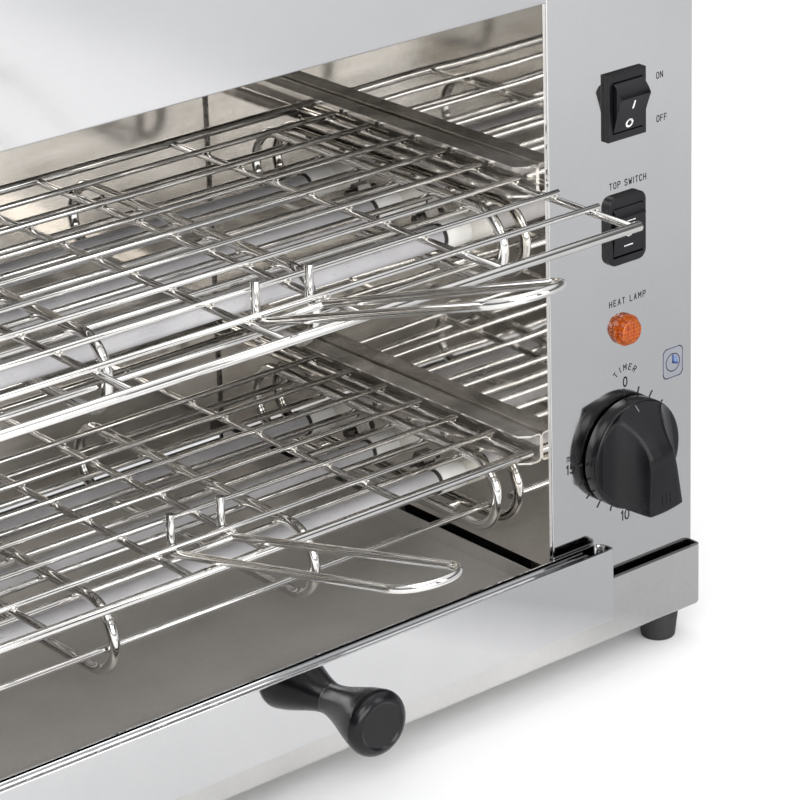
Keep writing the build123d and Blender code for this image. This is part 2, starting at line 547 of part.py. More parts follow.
with BuildPart() as power_switch_body:
    block(POWER_X - 10.4, POWER_X + 10.4, -2.5, 0, POWER_Z - 14.0, POWER_Z + 14.0)
    fillet(power_switch_body.edges().group_by(Axis.Y)[0], radius=0.5)
    block(POWER_X - 9.2, POWER_X + 9.2, 0, 19, POWER_Z - 12.8, POWER_Z + 12.8)
    block(POWER_X - 8.3, POWER_X + 8.3, -3, -1, POWER_Z - 10.9, POWER_Z + 10.9, Mode.SUBTRACT)
    block(POWER_X - 8.3, POWER_X + 8.3, -1.9, 10, POWER_Z - 12.1, POWER_Z + 12.1, Mode.SUBTRACT)
    rod_x(POWER_X - 9.3, POWER_X + 9.3, POWER_PIVOT_Y, POWER_Z, 1.26, Mode.SUBTRACT)
    for tz in (-7, 0, 7):
        block(POWER_X - 2.4, POWER_X + 2.4, 19, 27, POWER_Z + tz - 0.4, POWER_Z + tz + 0.4)
save(power_switch_body, "power_switch_body")

with BuildPart() as top_switch_body:
    with BuildSketch(front_plane(0)):
        with Locations((X(TOP_SW_X), Z(TOP_SW_Z))):
            RectangleRounded(20.8, 29.5, 4.2)
    extrude(amount=2.5)
    fillet(top_switch_body.edges().group_by(Axis.Y)[0], radius=0.6)
    block(TOP_SW_X - 9.2, TOP_SW_X + 9.2, 0, 25, TOP_SW_Z - 13.8, TOP_SW_Z + 13.8)
    block(TOP_SW_X - 8.3, TOP_SW_X + 8.3, -3, -1, TOP_PIVOT_Z - 10.8, TOP_PIVOT_Z + 10.8, Mode.SUBTRACT)
    block(TOP_SW_X - 8.3, TOP_SW_X + 8.3, -1.9, 14, TOP_PIVOT_Z - 12.9, TOP_PIVOT_Z + 12.9, Mode.SUBTRACT)
    rod_x(TOP_SW_X - 9.3, TOP_SW_X + 9.3, TOP_PIVOT_Y, TOP_PIVOT_Z, 1.26, Mode.SUBTRACT)
    for tz in (-7, 0, 7):
        block(TOP_SW_X - 2.4, TOP_SW_X + 2.4, 25, 33, TOP_SW_Z + tz - 0.4, TOP_SW_Z + tz + 0.4)
save(top_switch_body, "top_switch_body")

# ---------------------------------------------------------------------------
# pilot lamp
# ---------------------------------------------------------------------------
with BuildPart() as pilot_lens:
    with BuildSketch(front_plane(0)):
        with Locations((X(LAMP_X), Z(LAMP_Z))):
            Circle(6.7)
    extrude(amount=2.0)
    with BuildSketch(front_plane(-2.0)):
        with Locations((X(LAMP_X), Z(LAMP_Z))):
            Circle(5.6)
    extrude(amount=3.0, taper=4)
    fillet(pilot_lens.edges().filter_by(GeomType.CIRCLE).group_by(Axis.Y)[0], radius=0.9)
    rod_y(LAMP_X, -3.2, 1, LAMP_Z, 3.6, Mode.SUBTRACT)
save(pilot_lens, "pilot_lens")

with BuildPart() as pilot_lamp_body:
    rod_y(LAMP_X, 0, 22, LAMP_Z, 5.0)
    rod_y(LAMP_X, 0.9, 4.2, LAMP_Z, 7.2)
    rod_y(LAMP_X, -2.6, 0, LAMP_Z, 2.6)
    block(LAMP_X - 3.0, LAMP_X - 2.2, 22, 30, LAMP_Z - 2, LAMP_Z + 2)
    block(LAMP_X + 2.2, LAMP_X + 3.0, 22, 30, LAMP_Z - 2, LAMP_Z + 2)
save(pilot_lamp_body, "pilot_lamp_body")

# ---------------------------------------------------------------------------
# timer
# ---------------------------------------------------------------------------
KNOB_TURN = 4.5               # the pointer rests a little before the zero
SKIRT_R, SKIRT_FRONT = 24.0, 8.3
GRIP_TOP = 24.0
ca, sa = math.cos(math.radians(KNOB_TURN)), math.sin(math.radians(KNOB_TURN))
dial = Plane(origin=(X(DIAL_X), Y(0), Z(DIAL_Z)), x_dir=(ca, 0, sa), z_dir=(0, -1, 0))
side = Plane(origin=dial.origin, x_dir=dial.y_dir, z_dir=dial.x_dir)

with BuildPart() as timer_knob:
    # grip: a ramp that rises from the pointer end to a level crest and tail
    with BuildSketch(side):
        with BuildLine():
            Polyline((-26.0, 6.0), (-26.0, GRIP_TOP), (-4.0, GRIP_TOP))
            Spline((-4.0, GRIP_TOP), (3.6, 23.0), (9.3, 20.0), (16.0, 14.5), (22.0, SKIRT_FRONT - 0.3),
                   tangents=((1, 0), (0.6, -0.8)))
            Polyline((22.0, SKIRT_FRONT - 0.3), (22.0, 6.0), (-26.0, 6.0))
        make_face()
    extrude(amount=26, both=True)
    with BuildSketch(dial.offset(5.0)):
        Circle(22.2)
        with BuildLine():
            Polyline((-13, 0), (13, 0), (11, -21.6), (-11, -21.6), close=True)
        make_face()
    extrude(amount=20, mode=Mode.INTERSECT)
    with BuildSketch(dial.offset(4.0)):
        Circle(24.9)
    extrude(amount=22, mode=Mode.INTERSECT)
    # hollow flanks on both sides of the crest, opening towards the tail
    for s in (-1, 1):
        flank = Plane(origin=dial.from_local_coords((s * 24.5, 0, 25.5)), x_dir=dial.z_dir,
                      z_dir=dial.from_local_coords((-s * math.sin(math.radians(5.5)), math.cos(math.radians(5.5)), 0)) - dial.origin)
        with BuildSketch(flank.offset(-40)):
            Circle(17.7)
        extrude(amount=80, mode=Mode.SUBTRACT)
    # skirt
    with BuildSketch(dial.offset(1.0)):
        Circle(SKIRT_R)
    extrude(amount=SKIRT_FRONT - 1.0)
    fillet(timer_knob.edges().filter_by(GeomType.CIRCLE).filter_by(lambda e: abs(e.radius - SKIRT_R) < 0.01).group_by(Axis.Y)[0], radius=0.5)
    with BuildSketch(dial.offset(0.6)):
        Circle(9.0)
    extrude(amount=1.0)
    # bore for the shaft
    with BuildSketch(dial.offset(0.0)):
        Circle(3.0)
    extrude(amount=16.0, mode=Mode.SUBTRACT)
save(timer_knob, "timer_knob")

with BuildPart() as timer_shaft:
    rod_y(DIAL_X, -15.8, 14.0, DIAL_Z, 3.0)
save(timer_shaft, "timer_shaft")

with BuildPart() as timer_body:
    block(DIAL_X - 21, DIAL_X + 21, SHEET, SHEET + 2.0, DIAL_Z - 21, DIAL_Z + 21)
    rod_y(DIAL_X, SHEET + 2.0, 32, DIAL_Z, 19)
    rod_y(DIAL_X, SHEET - 1, 14.5, DIAL_Z, 3.05, Mode.SUBTRACT)
    for s in (-1, 1):
        block(DIAL_X + s * 8 - 3, DIAL_X + s * 8 + 3, 32, 40, DIAL_Z - 0.4, DIAL_Z + 0.4)
save(timer_body, "timer_body")

# ---------------------------------------------------------------------------
# supply entry
# ---------------------------------------------------------------------------
with BuildPart() as cable_gland:
    rod_y(GLAND_X, BACK_Y - 7, BACK_Y + SHEET, GLAND_Z, 6.9)
    with BuildSketch(front_plane(BACK_Y + SHEET)):
        with Locations((X(GLAND_X), Z(GLAND_Z))):
            RegularPolygon(9.5, 6, major_radius=False)
    extrude(amount=-5.0)
    rod_y(GLAND_X, BACK_Y + SHEET + 5.0, BACK_Y + SHEET + GLAND_OUT, GLAND_Z, 8.6)
    fillet(cable_gland.edges().filter_by(GeomType.CIRCLE).group_by(Axis.Y)[-1], radius=3.0)
    rod_y(GLAND_X, BACK_Y - 8, BACK_Y + 30, GLAND_Z, 4.2, Mode.SUBTRACT)
save(cable_gland, "cable_gland")

with BuildPart() as gland_nut:
    with BuildSketch(front_plane(BACK_Y - 5.0)):
        with Locations((X(GLAND_X), Z(GLAND_Z))):
            RegularPolygon(9.5, 6, major_radius=False)
            Circle(6.95, mode=Mode.SUBTRACT)
    extrude(amount=-5.0)
save(gland_nut, "gland_nut")

with BuildPart() as terminal_block:
    block(158, 206, 176, 196, FLOOR_Z, FLOOR_Z + 18)
    for k in range(4):
        block(161 + 11.5 * k, 169.5 + 11.5 * k, 175, 181, FLOOR_Z + 8, FLOOR_Z + 19, Mode.SUBTRACT)
        rod_z(165.2 + 11.5 * k, 186, FLOOR_Z + 18, FLOOR_Z + 19.5, 2.6)
save(terminal_block, "terminal_block")

print("shift", SHIFT_X, SHIFT_Y, SHIFT_Z)
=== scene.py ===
import math
import random

import bmesh
import bpy
from mathutils import Matrix, Vector
from mathutils.bvhtree import BVHTree


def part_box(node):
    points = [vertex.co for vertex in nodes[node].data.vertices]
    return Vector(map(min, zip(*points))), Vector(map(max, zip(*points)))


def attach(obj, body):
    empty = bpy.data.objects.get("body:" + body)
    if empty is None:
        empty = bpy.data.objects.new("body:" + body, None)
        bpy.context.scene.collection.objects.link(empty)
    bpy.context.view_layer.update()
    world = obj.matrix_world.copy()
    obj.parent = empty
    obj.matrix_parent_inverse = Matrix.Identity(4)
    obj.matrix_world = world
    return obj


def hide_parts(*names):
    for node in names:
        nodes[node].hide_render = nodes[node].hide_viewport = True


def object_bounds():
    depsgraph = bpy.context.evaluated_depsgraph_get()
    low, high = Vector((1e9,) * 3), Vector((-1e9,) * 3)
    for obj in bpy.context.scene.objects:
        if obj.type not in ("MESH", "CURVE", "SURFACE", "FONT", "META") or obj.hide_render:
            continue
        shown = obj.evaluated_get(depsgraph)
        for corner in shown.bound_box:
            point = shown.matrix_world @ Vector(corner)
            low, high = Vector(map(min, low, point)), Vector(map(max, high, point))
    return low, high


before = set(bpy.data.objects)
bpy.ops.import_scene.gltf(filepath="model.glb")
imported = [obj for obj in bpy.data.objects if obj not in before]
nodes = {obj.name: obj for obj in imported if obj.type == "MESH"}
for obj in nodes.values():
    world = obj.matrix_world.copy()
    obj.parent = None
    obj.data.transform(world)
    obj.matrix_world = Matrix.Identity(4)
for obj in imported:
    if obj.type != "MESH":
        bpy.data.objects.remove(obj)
cad_lo, cad_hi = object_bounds()
cad_lo, cad_hi = list(cad_lo), list(cad_hi)
rng = random.Random(7)

# Front datum of the object in millimetres: x as on the front, y = 0 on the
# face of the control panel, z = 0 where the panel meets the base.
panel_lo, panel_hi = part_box("control_panel")
OX, OY, OZ = panel_hi[0] * 1000.0 - 220.0, panel_lo[1] * 1000.0, panel_hi[2] * 1000.0 - 315.2


def P(x, y, z):
    return Vector(((x + OX) / 1000.0, (y + OY) / 1000.0, (z + OZ) / 1000.0))


# ---------------------------------------------------------------------------
# materials
# ---------------------------------------------------------------------------
def new_mat(name):
    m = bpy.data.materials.new(name)
    m.use_nodes = True
    nt = m.node_tree
    nt.nodes.clear()
    out = nt.nodes.new("ShaderNodeOutputMaterial")
    b = nt.nodes.new("ShaderNodeBsdfPrincipled")
    nt.links.new(b.outputs[0], out.inputs[0])
    return m, nt, b


def coords(nt, scale=(1, 1, 1)):
    tc = nt.nodes.new("ShaderNodeTexCoord")
    mp = nt.nodes.new("ShaderNodeMapping")
    mp.inputs["Scale"].default_value = scale
    nt.links.new(tc.outputs["Object"], mp.inputs["Vector"])
    return mp.outputs["Vector"]


def noise(nt, vec, scale, detail=4.0, rough=0.55):
    n = nt.nodes.new("ShaderNodeTexNoise")
    n.inputs["Scale"].default_value = scale
    n.inputs["Detail"].default_value = detail
    n.inputs["Roughness"].default_value = rough
    nt.links.new(vec, n.inputs["Vector"])
    return n.outputs["Fac"]


def remap(nt, sock, a, b, lo, hi):
    n = nt.nodes.new("ShaderNodeMapRange")
    n.inputs["From Min"].default_value = a
    n.inputs["From Max"].default_value = b
    n.inputs["To Min"].default_value = lo
    n.inputs["To Max"].default_value = hi
    nt.links.new(sock, n.inputs["Value"])
    return n.outputs["Result"]


def math_node(nt, op, a, b):
    n = nt.nodes.new("ShaderNodeMath")
    n.operation = op
    for k, v in enumerate((a, b)):
        if isinstance(v, (int, float)):
            n.inputs[k].default_value = v
        else:
            nt.links.new(v, n.inputs[k])
    return n.outputs[0]


def mix_col(nt, fac, a, b):
    n = nt.nodes.new("ShaderNodeMix")
    n.data_type = "RGBA"
    for key, v in (("Factor", fac), ("A", a), ("B", b)):
        sock = [s for s in n.inputs if s.name == key and (s.type == "RGBA" or key == "Factor")][0]
        if isinstance(v, (tuple, list)):
            sock.default_value = (*v, 1.0)
        elif isinstance(v, (int, float)):
            sock.default_value = v
        else:
            nt.links.new(v, sock)
    return [o for o in n.outputs if o.type == "RGBA"][0]


def bump(nt, height, distance, strength=1.0, normal=None):
    n = nt.nodes.new("ShaderNodeBump")
    n.inputs["Distance"].default_value = distance
    n.inputs["Strength"].default_value = strength
    nt.links.new(height, n.inputs["Height"])
    if normal is not None:
        nt.links.new(normal, n.inputs["Normal"])
    return n.outputs["Normal"]


def steel(name, col_a, col_b, rough, rvar, grain=(8, 600, 600), grain_depth=0.000012,
          wave=0.0002, wave_scale=9.0, smudge=16.0, spots=0.0, metal=1.0):
    """Sheet or wire steel: cloudy tint, smudges in the gloss, fine rolling grain, a slow wave."""
    m, nt, b = new_mat(name)
    v = coords(nt)
    g = coords(nt, grain)
    cloud = noise(nt, v, smudge, 5.0, 0.6)
    fine = noise(nt, v, 420.0, 3.0, 0.6)
    lines = noise(nt, g, 1.0, 4.0, 0.7)
    mixed = math_node(nt, "ADD", math_node(nt, "MULTIPLY", cloud, 0.8), math_node(nt, "MULTIPLY", fine, 0.2))
    fac = remap(nt, mixed, 0.36, 0.66, 0.0, 1.0)
    col = mix_col(nt, fac, col_a, col_b)
    if spots:
        sp = noise(nt, v, 95.0, 6.0, 0.75)
        col = mix_col(nt, remap(nt, sp, 0.60, 0.74, 0.0, spots), col, tuple(c * 0.55 for c in col_a))
    nt.links.new(col, b.inputs["Base Color"])
    r = math_node(nt, "ADD", remap(nt, cloud, 0.3, 0.7, rough - rvar, rough + rvar),
                  remap(nt, lines, 0.3, 0.7, -rvar * 0.4, rvar * 0.4))
    r = math_node(nt, "MAXIMUM", r, 0.02)
    nt.links.new(r, b.inputs["Roughness"])
    b.inputs["Metallic"].default_value = metal
    n1 = bump(nt, noise(nt, v, wave_scale, 1.0, 0.4), wave)
    n2 = bump(nt, lines, grain_depth, 1.0, n1)
    nt.links.new(n2, b.inputs["Normal"])
    return m


def plastic(name, col_a, col_b, rough, rvar, tex_scale, depth, spec=0.5, coat=0.0):
    """Moulded plastic or rubber: fine spark texture and a slightly uneven gloss."""
    m, nt, b = new_mat(name)
    v = coords(nt)
    n = noise(nt, v, tex_scale, 4.0, 0.6)
    big = noise(nt, v, 60.0, 3.0, 0.5)
    nt.links.new(mix_col(nt, remap(nt, big, 0.35, 0.65, 0.0, 1.0), col_a, col_b), b.inputs["Base Color"])
    nt.links.new(remap(nt, big, 0.3, 0.7, rough - rvar, rough + rvar), b.inputs["Roughness"])
    b.inputs["Specular IOR Level"].default_value = spec
    b.inputs["Coat Weight"].default_value = coat
    nt.links.new(bump(nt, n, depth), b.inputs["Normal"])
    return m


M = {}
M["panel"] = steel("panel_steel", (0.57, 0.57, 0.57), (0.62, 0.62, 0.62), 0.075, 0.015,
                   grain=(500, 500, 8), grain_depth=0.0000015, wave=0.00012, wave_scale=6.0, smudge=7.0)
M["casing"] = steel("casing_steel", (0.55, 0.55, 0.555), (0.60, 0.60, 0.605), 0.33, 0.02,
                    grain=(8, 500, 500), grain_depth=0.000002, wave=0.00005, wave_scale=5.0, smudge=5.0)
M["header"] = steel("header_steel", (0.55, 0.55, 0.555), (0.59, 0.59, 0.595), 0.12, 0.02,
                    grain=(8, 500, 500), grain_depth=0.000002, wave=0.00012, wave_scale=6.0, smudge=7.0)
M["bright"] = steel("bright_steel", (0.60, 0.605, 0.61), (0.65, 0.65, 0.655), 0.05, 0.015,
                    grain=(8, 500, 500), grain_depth=0.000001, wave=0.00018, wave_scale=7.0, smudge=9.0)
M["base"] = steel("base_steel", (0.56, 0.555, 0.545), (0.66, 0.655, 0.64), 0.07, 0.02,
                  grain=(8, 500, 500), grain_depth=0.0000015, wave=0.0003, wave_scale=10.0, smudge=12.0)
M["liner"] = steel("liner_steel", (0.74, 0.715, 0.675), (0.90, 0.88, 0.85), 0.032, 0.012,
                   grain=(400, 12, 400), grain_depth=0.000001, wave=0.0004, wave_scale=14.0, smudge=22.0, spots=0.35)
M["tray"] = steel("tray_steel", (0.46, 0.44, 0.41), (0.56, 0.54, 0.51), 0.33, 0.06,
                  grain=(8, 500, 500), grain_depth=0.000006, wave=0.0003, wave_scale=12.0, smudge=15.0, spots=0.28, metal=0.50)
M["rail"] = steel("rail_steel", (0.50, 0.47, 0.43), (0.90, 0.87, 0.83), 0.11, 0.05,
                  grain=(500, 12, 500), grain_depth=0.000005, wave=0.0004, wave_scale=30.0, smudge=42.0, spots=0.8, metal=0.82)
M["wire"] = steel("wire_chrome", (0.71, 0.695, 0.67), (0.81, 0.80, 0.78), 0.085, 0.02,
                  grain=(300, 300, 300), grain_depth=0.0000008, wave=0.000012, wave_scale=60.0, smudge=45.0)
# dark colour of the bracket nuts, also used for the painted shade strips in the rear corner gaps
M["nut"] = steel("dark_nut_and_seam_shade", (0.075, 0.07, 0.065), (0.22, 0.21, 0.20), 0.30, 0.08,
                 grain=(700, 700, 700), grain_depth=0.00001, wave=0.00003, wave_scale=80.0, smudge=260.0)
M["weld"] = steel("weld_bead", (0.50, 0.48, 0.45), (0.72, 0.70, 0.67), 0.24, 0.08,
                  grain=(900, 900, 900), grain_depth=0.00003, wave=0.00005, wave_scale=200.0, smudge=150.0)
M["zinc"] = steel("zinc_hardware", (0.44, 0.43, 0.41), (0.60, 0.59, 0.57), 0.26, 0.08,
                  grain=(700, 700, 700), grain_depth=0.00001, wave=0.00003, wave_scale=80.0, smudge=120.0)
M["coil"] = steel("coil_wire", (0.16, 0.14, 0.13), (0.28, 0.25, 0.23), 0.45, 0.08,
                  grain=(900, 900, 900), grain_depth=0.00001, wave=0.00002, wave_scale=200.0, smudge=150.0)
M["gap"] = plastic("shadow_gap", (0.012, 0.011, 0.010), (0.02, 0.018, 0.016), 0.7, 0.05, 900.0, 0.00002, 0.2)
M["black"] = plastic("black_moulding", (0.0035, 0.0035, 0.0045), (0.006, 0.006, 0.0075), 0.30, 0.05, 1500.0, 0.000008, 0.36)
M["knob"] = plastic("knob_moulding", (0.003, 0.003, 0.004), (0.0055, 0.0055, 0.007), 0.25, 0.04, 2200.0, 0.000006, 0.34)
M["rocker"] = plastic("rocker_gloss", (0.003, 0.003, 0.004), (0.005, 0.005, 0.0065), 0.17, 0.03, 1200.0, 0.000004, 0.38)
M["rubber"] = plastic("foot_rubber", (0.020, 0.020, 0.021), (0.038, 0.037, 0.038), 0.58, 0.08, 900.0, 0.00004, 0.35)
M["ceramic"] = plastic("ceramic", (0.80, 0.79, 0.75), (0.90, 0.89, 0.86), 0.42, 0.08, 1400.0, 0.00002, 0.4)
M["seal"] = plastic("dark_seal", (0.02, 0.019, 0.018), (0.045, 0.042, 0.04), 0.5, 0.08, 900.0, 0.00002, 0.3)
M["cream"] = plastic("inner_moulding", (0.70, 0.69, 0.65), (0.79, 0.78, 0.75), 0.45, 0.05, 1200.0, 0.00001, 0.4)
M["ink"] = plastic("black_ink", (0.010, 0.010, 0.012), (0.025, 0.025, 0.028), 0.45, 0.05, 3000.0, 0.000003, 0.4)
M["slate"] = plastic("slate_ink", (0.075, 0.085, 0.13), (0.10, 0.11, 0.16), 0.45, 0.05, 3000.0, 0.000003, 0.3)
M["blue"] = plastic("blue_ink", (0.025, 0.06, 0.19), (0.04, 0.085, 0.25), 0.45, 0.05, 3000.0, 0.000003, 0.4)
M["lavender"] = plastic("pale_field_ink", (0.245, 0.252, 0.28), (0.265, 0.273, 0.30), 0.4, 0.05, 3000.0, 0.000003, 0.3)
M["paleblue"] = plastic("pale_blue_ink", (0.14, 0.20, 0.36), (0.17, 0.23, 0.40), 0.4, 0.05, 3000.0, 0.000003, 0.3)
M["white"] = plastic("white_ink", (0.80, 0.80, 0.80), (0.90, 0.90, 0.90), 0.45, 0.05, 3000.0, 0.000003, 0.4)
M["pointer"] = plastic("pointer_ink", (0.15, 0.15, 0.145), (0.22, 0.22, 0.21), 0.45, 0.05, 3000.0, 0.000003, 0.4)


def quartz_mat():
    m, nt, b = new_mat("frosted_quartz")
    v = coords(nt)
    c = noise(nt, v, 30.0, 4.0, 0.6)
    f = noise(nt, coords(nt, (60, 900, 900)), 1.0, 3.0, 0.6)
    nt.links.new(mix_col(nt, remap(nt, c, 0.35, 0.65, 0.0, 1.0), (0.60, 0.59, 0.605), (0.74, 0.73, 0.74)), b.inputs["Base Color"])
    nt.links.new(remap(nt, f, 0.3, 0.7, 0.26, 0.42), b.inputs["Roughness"])
    b.inputs["Transmission Weight"].default_value = 0.30
    b.inputs["IOR"].default_value = 1.46
    nt.links.new(bump(nt, f, 0.00002), b.inputs["Normal"])
    return m


def amber_mat():
    m, nt, b = new_mat("amber_lens")
    v = coords(nt)
    c = noise(nt, v, 500.0, 2.0, 0.5)
    # pyramids moulded inside the lens scatter the light in small facets; the base colour paints this as painted light
    # at each facet's centre and painted shade at its edges, over a random tint
    vo = nt.nodes.new("ShaderNodeTexVoronoi")
    vo.inputs["Scale"].default_value = 620.0
    vo.inputs["Randomness"].default_value = 0.25
    nt.links.new(v, vo.inputs["Vector"])
    cell = vo.outputs["Distance"]
    tint_and_facet_shade = math_node(nt, "ADD", math_node(nt, "MULTIPLY", c, 0.5), math_node(nt, "MULTIPLY", cell, 0.7))
    nt.links.new(mix_col(nt, remap(nt, tint_and_facet_shade, 0.28, 0.80, 0.0, 1.0), (0.86, 0.23, 0.015), (0.32, 0.032, 0.003)), b.inputs["Base Color"])
    nt.links.new(remap(nt, c, 0.3, 0.7, 0.05, 0.12), b.inputs["Roughness"])
    b.inputs["Transmission Weight"].default_value = 0.55
    b.inputs["IOR"].default_value = 1.49
    b.inputs["Emission Color"].default_value = (1.0, 0.16, 0.01, 1.0)
    b.inputs["Emission Strength"].default_value = 0.05
    nt.links.new(bump(nt, cell, 0.00012, 1.0, bump(nt, c, 0.00003)), b.inputs["Normal"])
    return m


def rear_mat():
    """The single rear skin: heat-tinted on the side of the toasting space with painted reflection streaks along the
    tubes, plain outside.
    """
    m, nt, b = new_mat("rear_skin")
    v = coords(nt)
    sep = nt.nodes.new("ShaderNodeSeparateXYZ")
    nt.links.new(v, sep.inputs[0])
    side = math_node(nt, "GREATER_THAN", sep.outputs["Y"], (226.0 + 0.4 + OY) / 1000.0)
    cloud = noise(nt, v, 18.0, 5.0, 0.6)
    lines = noise(nt, coords(nt, (12, 500, 500)), 1.0, 4.0, 0.7)
    # soft bands along the tubes: painted streaks that stand in for the reflections of the tubes
    tube_reflection_streaks = noise(nt, coords(nt, (3.0, 40.0, 26.0)), 1.0, 5.0, 0.65)
    inner = mix_col(nt, remap(nt, math_node(nt, "ADD", math_node(nt, "MULTIPLY", cloud, 0.35), math_node(nt, "MULTIPLY", tube_reflection_streaks, 0.65)),
                              0.38, 0.62, 0.0, 1.0), (0.46, 0.435, 0.40), (0.80, 0.775, 0.735))
    outer = mix_col(nt, remap(nt, noise(nt, v, 5.0, 3.0, 0.5), 0.36, 0.66, 0.0, 1.0), (0.60, 0.60, 0.605), (0.65, 0.65, 0.655))
    nt.links.new(mix_col(nt, side, inner, outer), b.inputs["Base Color"])
    r_in = remap(nt, cloud, 0.3, 0.7, 0.10, 0.18)
    r_out = remap(nt, cloud, 0.3, 0.7, 0.17, 0.20)
    r = math_node(nt, "ADD", math_node(nt, "MULTIPLY", r_in, math_node(nt, "SUBTRACT", 1.0, side)),
                  math_node(nt, "MULTIPLY", r_out, side))
    nt.links.new(r, b.inputs["Roughness"])
    nt.links.new(remap(nt, side, 0.0, 1.0, 0.82, 1.0), b.inputs["Metallic"])
    nt.links.new(bump(nt, lines, 0.000005, 1.0, bump(nt, noise(nt, v, 9.0, 1.0, 0.4), 0.00016)), b.inputs["Normal"])
    return m


M["quartz"] = quartz_mat()
M["amber"] = amber_mat()
M["rear"] = rear_mat()

node_mat = {
    "base_pan": "base", "feet": "rubber", "foot_screws": "zinc", "foot_nuts": "zinc",
    "control_panel": "panel", "left_front_post": "panel", "header_fascia": "header", "top_cover": "casing",
    "right_side_panel": "casing", "left_side_panel": "casing", "rear_panel": "rear", "case_screws": "zinc",
    "inner_right_wall": "liner", "inner_left_wall": "liner", "cavity_roof": "liner",
    "upper_right_rail": "rail", "upper_left_rail": "rail", "lower_right_rail": "rail", "lower_left_rail": "rail",
    "lower_quartz_tubes": "quartz", "middle_quartz_tubes": "quartz", "top_quartz_tubes": "quartz",
    "tube_seals": "seal", "ceramic_ends": "ceramic", "heating_coils": "coil", "element_terminals": "zinc",
    "bracket_bolts": "nut", "guard_pins": "wire", "power_switch_body": "black", "top_switch_body": "black",
    "pilot_lens": "amber", "pilot_lamp_body": "cream", "timer_body": "cream", "cable_gland": "black",
    "gland_nut": "black", "terminal_block": "cream", "tray_front": "bright", "tray_pan": "tray",
    "tray_runners": "liner", "tray_knob": "knob", "tray_knob_screw": "zinc",
    "power_rocker": "rocker", "top_rocker": "rocker", "timer_knob": "knob", "timer_shaft": "zinc",
}
for n in nodes:
    if n.endswith(("_guard_loops", "_guard_rods", "_rack_rods", "_rack_wires", "_rack_handle")):
        node_mat[n] = "wire"
for n, o in nodes.items():
    mat = M[node_mat[n]]
    if o.data.materials:
        for k in range(len(o.data.materials)):
            o.data.materials[k] = mat
    else:
        o.data.materials.append(mat)


def ease(name, width_mm, segments=2, angle=42.0):
    """Softens a CAD piece's sharp edges, without touching its mesh."""
    o = nodes[name]
    w = o.modifiers.new("weld", "WELD")
    w.merge_threshold = 0.000002
    b = o.modifiers.new("ease", "BEVEL")
    b.width = width_mm / 1000.0
    b.segments = segments
    b.limit_method = "ANGLE"
    b.angle_limit = math.radians(angle)
    b.harden_normals = True


for n in nodes:
    if n.endswith(("_rack_rods", "_rack_wires", "_rack_handle", "_guard_rods")):
        ease(n, 0.45)
for n, w in {"tray_knob": 0.25, "tube_seals": 0.3, "ceramic_ends": 0.4, "bracket_bolts": 0.3,
             "cable_gland": 0.4, "case_screws": 0.3, "tray_pan": 0.12, "guard_pins": 0.2,
             "base_pan": 0.3, "tray_front": 0.15, "pilot_lens": 0.15}.items():
    ease(n, w)


# ---------------------------------------------------------------------------
# mesh helpers
# ---------------------------------------------------------------------------
def make(name, verts, faces, mat, body, smooth=True):
    me = bpy.data.meshes.new(name)
    me.from_pydata([tuple(v) for v in verts], [], faces)
    me.validate()
    me.update()
    bm = bmesh.new()
    bm.from_mesh(me)
    bmesh.ops.recalc_face_normals(bm, faces=bm.faces)
    bm.to_mesh(me)
    bm.free()
    for p in me.polygons:
        p.use_smooth = smooth
    me.materials.append(mat)
    o = bpy.data.objects.new(name, me)
    bpy.context.scene.collection.objects.link(o)
    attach(o, body)
    return o


def capsule(a, b, w, n=5):
    """Outline of a stroke from a to b, width w, with round ends, in the plane."""
    d = (b - a)
    if d.length < 1e-9:
        d = Vector((1e-6, 0))
    t = math.atan2(d.y, d.x)
    out = []
    for k in range(n + 1):
        q = t - math.pi / 2 + math.pi * k / n
        out.append(b + Vector((math.cos(q), math.sin(q))) * w / 2)
    for k in range(n + 1):
        q = t + math.pi / 2 + math.pi * k / n
        out.append(a + Vector((math.cos(q), math.sin(q))) * w / 2)
    return out


def prisms(outlines, place, thick):
    """Thin closed prisms over flat outlines; place(u, v, h) gives the 3-D point."""
    verts, faces = [], []
    for ol in outlines:
        n, s = len(ol), len(verts)
        verts += [place(p.x, p.y, thick) for p in ol] + [place(p.x, p.y, -0.02) for p in ol]
        faces.append(list(range(s, s + n)))
        faces.append(list(range(s + 2 * n - 1, s + n - 1, -1)))
        for k in range(n):
            j = (k + 1) % n
            faces.append([s + k, s + n + k, s + n + j, s + j])
    return verts, faces


def strokes(polys, w):
    out = []
    for pl in polys:
        pl = [Vector(p) for p in pl]
        for a, b in zip(pl, pl[1:]):
            out.append(capsule(a, b, w))
    return out


